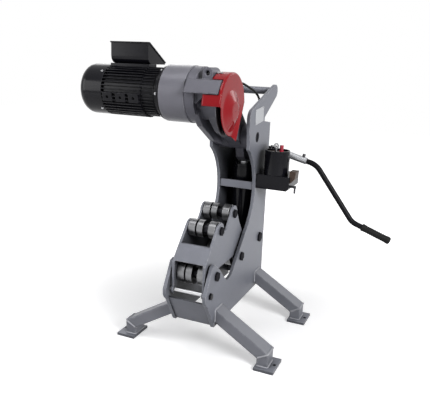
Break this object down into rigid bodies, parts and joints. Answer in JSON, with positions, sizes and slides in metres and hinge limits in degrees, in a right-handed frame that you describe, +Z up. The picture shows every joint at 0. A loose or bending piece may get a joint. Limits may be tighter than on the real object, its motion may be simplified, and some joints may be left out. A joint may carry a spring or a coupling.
{
  "type": "electric pipe cutter",
  "caption": "Free-standing electric pipe cutter: a geared motor head with a driven cutting wheel swings down on a hand-pumped hydraulic lift over pipe rollers.",
  "frame": {"origin": "on the floor, midway between the four foot bolt holes", "axes": "+X along the pipe, away from the motor; +Y from the open front to the column; +Z up"},
  "size_m": [0.9118, 0.529, 0.87],
  "materials": {
    "grey": "satin grey paint",
    "black_paint": "semi-gloss black paint",
    "steel": "turned bright steel",
    "chrome": "polished",
    "dark_steel": "blackened steel",
    "red_paint": "gloss red paint",
    "label": "plain satin plate",
    "tan_paint": "worn paint",
    "copper": "wound copper and lamination",
    "red_plastic": "gloss",
    "black_plastic": "matt",
    "grip": "matt"
  },
  "bodies": {
    "frame": {"side_plate_right": "grey", "side_plate_left": "grey", "cross_ties": "grey", "front_tie": "grey", "back_plate": "black_paint", "legs": "grey", "foot_plates": "grey", "carrying_bar": "grey", "pivot_pin": "steel", "large_axles": "steel", "hinge_rod": "steel", "name_plate": "label", "junction_box": "black_plastic", "junction_glands": "black_plastic", "lift_cylinder": "black_paint", "lift_gland": "black_paint", "lift_pin": "steel", "oil_pipe": "black_paint", "pump_base": "black_paint", "reservoir": "black_paint", "reservoir_cap": "black_paint", "filler_plug": "red_plastic", "breather": "steel", "pump_barrel": "black_paint", "valve_block": "tan_paint", "fulcrum_fork": "black_paint", "fulcrum_pin": "steel"},
    "head": {"head_casting": "grey", "lift_cam": "grey", "reducer_drum": "grey", "motor_bell": "black_paint", "motor_body": "black_paint", "stator": "copper", "fan_cowl": "black_paint", "head_screws": "dark_steel", "terminal_box": "black_paint", "terminal_lid": "black_paint", "lead_gland": "black_plastic", "motor_lead": "black_plastic", "guard": "red_paint", "spindle_bearings": "steel"},
    "lift_rod": {"lift_rod": "steel"},
    "spindle": {"spindle": "steel", "cutting_wheel": "dark_steel", "wheel_nut": "dark_steel"},
    "reducer_output": {"reducer_output": "steel"},
    "rotor": {"rotor": "steel", "cooling_fan": "black_plastic"},
    "cradle": {"cradle": "grey", "small_axles": "steel"},
    "roller_large_front": {"roller_large_front": "steel"},
    "roller_large_back": {"roller_large_back": "steel"},
    "roller_small_front": {"roller_small_front": "steel"},
    "roller_small_back": {"roller_small_back": "steel"},
    "pump_lever": {"lever_socket": "chrome", "socket_screw": "dark_steel", "lever_bar": "black_paint", "lever_grip": "grip"},
    "pump_plunger": {"pump_plunger": "steel"},
    "release_valve": {"release_valve": "dark_steel"}
  },
  "joints": [
    {"name": "head_swing", "type": "hinge", "parent": "frame", "child": "head", "pos_m": [0, 0.089, 0.603], "axis": [1, 0, 0], "range_deg": [0, 58], "deforming": ["motor_lead"]},
    {"name": "rod_lift", "type": "slide", "parent": "frame", "child": "lift_rod", "axis": [0, 0, 1], "range_m": [0, 0.07592]},
    {"name": "rotor_spin", "type": "hinge", "parent": "head", "child": "rotor", "pos_m": [0, -0.068, 0.73], "axis": [1, 0, 0], "continuous": true},
    {"name": "output_spin", "type": "hinge", "parent": "head", "child": "reducer_output", "pos_m": [0, -0.068, 0.73], "axis": [1, 0, 0], "continuous": true},
    {"name": "spindle_spin", "type": "hinge", "parent": "head", "child": "spindle", "pos_m": [0, -0.07611, 0.70503], "axis": [1, 0, 0], "continuous": true},
    {"name": "cradle_tilt", "type": "hinge", "parent": "frame", "child": "cradle", "pos_m": [0, -0.232, 0.203], "axis": [1, 0, 0], "range_deg": [0, 100]},
    {"name": "large_front_spin", "type": "hinge", "parent": "frame", "child": "roller_large_front", "pos_m": [0, -0.192, 0.247], "axis": [1, 0, 0], "continuous": true},
    {"name": "large_back_spin", "type": "hinge", "parent": "frame", "child": "roller_large_back", "pos_m": [0, -0.002, 0.247], "axis": [1, 0, 0], "continuous": true},
    {"name": "small_front_spin", "type": "hinge", "parent": "cradle", "child": "roller_small_front", "pos_m": [0, -0.137, 0.361], "axis": [1, 0, 0], "continuous": true},
    {"name": "small_back_spin", "type": "hinge", "parent": "cradle", "child": "roller_small_back", "pos_m": [0, -0.038, 0.389], "axis": [1, 0, 0], "continuous": true},
    {"name": "lever_pump", "type": "hinge", "parent": "frame", "child": "pump_lever", "pos_m": [0.085, 0.19, 0.557], "axis": [0, -1, 0], "range_deg": [0, 32]},
    {"name": "plunger_stroke", "type": "slide", "parent": "frame", "child": "pump_plunger", "axis": [0, 0, 1], "range_m": [0, 0.01544]},
    {"name": "valve_turn", "type": "hinge", "parent": "frame", "child": "release_valve", "pos_m": [0.172, 0.118, 0.456], "axis": [1, 0, 0], "range_deg": [0, 120]}
  ],
  "couplings": [
    {"joint": "rod_lift", "follows": "head_swing", "m_per_rad": 0.075},
    {"joint": "output_spin", "follows": "rotor_spin", "ratio": 0.05},
    {"joint": "spindle_spin", "follows": "rotor_spin", "ratio": -0.033333},
    {"joint": "plunger_stroke", "follows": "lever_pump", "m_per_rad": 0.027637}
  ]
}
